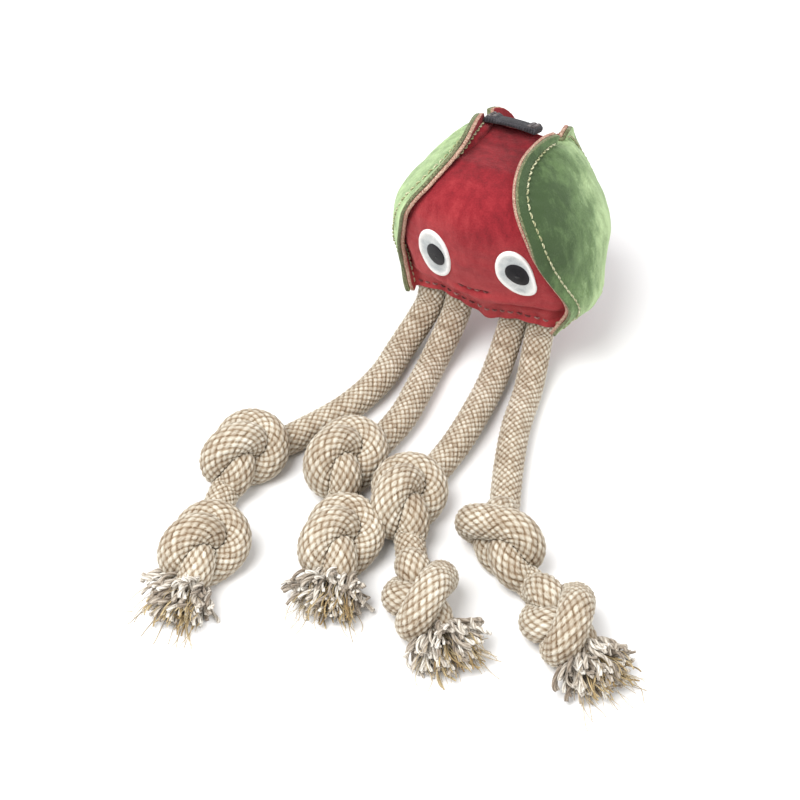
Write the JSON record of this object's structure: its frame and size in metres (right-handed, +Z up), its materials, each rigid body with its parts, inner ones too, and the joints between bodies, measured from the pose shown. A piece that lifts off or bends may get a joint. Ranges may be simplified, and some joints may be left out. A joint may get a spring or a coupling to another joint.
{
  "type": "stuffed octopus pet toy",
  "caption": "Stuffed suede octopus head with stitched eyes, leaf-shaped sides, a top strap and knotted braided rope legs with frayed ends.",
  "frame": {"origin": "centre of the toy's outline on the plane that its knots rest on", "axes": "+Z up, the face and the legs point towards -Y, +X is the toy's own left"},
  "size_m": [0.1963, 0.2587, 0.1042],
  "materials": {
    "red_suede": "matte",
    "green_suede": "matte",
    "stuffing_fibre": "matte",
    "black_webbing": "matte",
    "pale_thread": "matte",
    "dark_thread": "matte",
    "white_felt": "matte",
    "black_felt": "matte",
    "cotton_rope": "matte",
    "cut_yarn": "matte"
  },
  "bodies": {
    "head": {"back_panel": "red_suede", "eye_pupil_left": "black_felt", "eye_pupil_right": "black_felt", "eye_white_left": "white_felt", "eye_white_right": "white_felt", "front_panel": "red_suede", "hem_thread_back": "dark_thread", "hem_thread_front": "dark_thread", "leg_1_root": "cotton_rope", "leg_2_root": "cotton_rope", "leg_3_root": "cotton_rope", "leg_4_root": "cotton_rope", "mouth_stitch": "dark_thread", "seam_thread_back_left": "pale_thread", "seam_thread_back_right": "pale_thread", "seam_thread_front_left": "pale_thread", "seam_thread_front_right": "pale_thread", "side_gusset_left": "green_suede", "side_gusset_right": "green_suede", "strap_tack_left": "pale_thread", "strap_tack_right": "pale_thread", "stuffing": "stuffing_fibre", "top_strap": "black_webbing"},
    "leg_1_bend": {"leg_1_bend": "cotton_rope"},
    "leg_1_lower": {"leg_1_frayed_end": "cut_yarn", "leg_1_lower_knot": "cotton_rope", "leg_1_lower_rope": "cotton_rope"},
    "leg_1_upper": {"leg_1_upper_knot": "cotton_rope", "leg_1_upper_rope": "cotton_rope"},
    "leg_2_bend": {"leg_2_bend": "cotton_rope"},
    "leg_2_lower": {"leg_2_frayed_end": "cut_yarn", "leg_2_lower_knot": "cotton_rope", "leg_2_lower_rope": "cotton_rope"},
    "leg_2_upper": {"leg_2_upper_knot": "cotton_rope", "leg_2_upper_rope": "cotton_rope"},
    "leg_3_bend": {"leg_3_bend": "cotton_rope"},
    "leg_3_lower": {"leg_3_frayed_end": "cut_yarn", "leg_3_lower_knot": "cotton_rope", "leg_3_lower_rope": "cotton_rope"},
    "leg_3_upper": {"leg_3_upper_knot": "cotton_rope", "leg_3_upper_rope": "cotton_rope"},
    "leg_4_bend": {"leg_4_bend": "cotton_rope"},
    "leg_4_lower": {"leg_4_frayed_end": "cut_yarn", "leg_4_lower_knot": "cotton_rope", "leg_4_lower_rope": "cotton_rope"},
    "leg_4_upper": {"leg_4_upper_knot": "cotton_rope", "leg_4_upper_rope": "cotton_rope"}
  },
  "joints": [
    {"name": "leg_1_swing", "type": "hinge", "parent": "head", "child": "leg_1_bend", "pos_m": [-0.052, 0.06545, 0.01669], "axis": [0, 0, 1], "range_deg": [-35, 2]},
    {"name": "leg_1_lift", "type": "hinge", "parent": "leg_1_bend", "child": "leg_1_upper", "pos_m": [-0.056, 0.0462, 0.0062], "axis": [-0.9519, 0.3064, 0], "range_deg": [-45, 60]},
    {"name": "leg_1_curl", "type": "hinge", "parent": "leg_1_upper", "child": "leg_1_lower", "pos_m": [-0.08324, -0.06209, 0.007], "axis": [-0.9549, -0.2969, 0], "range_deg": [-45, 55]},
    {"name": "leg_2_swing", "type": "hinge", "parent": "head", "child": "leg_2_bend", "pos_m": [-0.0395, 0.06545, 0.01669], "axis": [0, 0, 1], "range_deg": [-2, 1]},
    {"name": "leg_2_lift", "type": "hinge", "parent": "leg_2_bend", "child": "leg_2_upper", "pos_m": [-0.0405, 0.0462, 0.0062], "axis": [-0.9961, 0.0887, 0], "range_deg": [-45, 60]},
    {"name": "leg_2_curl", "type": "hinge", "parent": "leg_2_upper", "child": "leg_2_lower", "pos_m": [-0.03851, -0.04633, 0.007], "axis": [-0.9069, -0.4213, 0], "range_deg": [-45, 55]},
    {"name": "leg_3_swing", "type": "hinge", "parent": "head", "child": "leg_3_bend", "pos_m": [-0.0145, 0.06545, 0.01669], "axis": [0, 0, 1], "range_deg": [-1, 2.5]},
    {"name": "leg_3_lift", "type": "hinge", "parent": "leg_3_bend", "child": "leg_3_upper", "pos_m": [-0.0135, 0.0462, 0.0062], "axis": [-0.9995, 0.0305, 0], "range_deg": [-45, 60]},
    {"name": "leg_3_curl", "type": "hinge", "parent": "leg_3_upper", "child": "leg_3_lower", "pos_m": [-0.00552, -0.05434, 0.007], "axis": [-0.8444, -0.5358, 0], "range_deg": [-45, 55]},
    {"name": "leg_4_swing", "type": "hinge", "parent": "head", "child": "leg_4_bend", "pos_m": [-0.002, 0.06545, 0.01669], "axis": [0, 0, 1], "range_deg": [-3, 35]},
    {"name": "leg_4_lift", "type": "hinge", "parent": "leg_4_bend", "child": "leg_4_upper", "pos_m": [0.002, 0.0462, 0.0062], "axis": [-0.964, -0.2659, 0], "range_deg": [-45, 60]},
    {"name": "leg_4_curl", "type": "hinge", "parent": "leg_4_upper", "child": "leg_4_lower", "pos_m": [0.04386, -0.05241, 0.007], "axis": [-0.6681, -0.7441, 0], "range_deg": [-45, 55]}
  ]
}
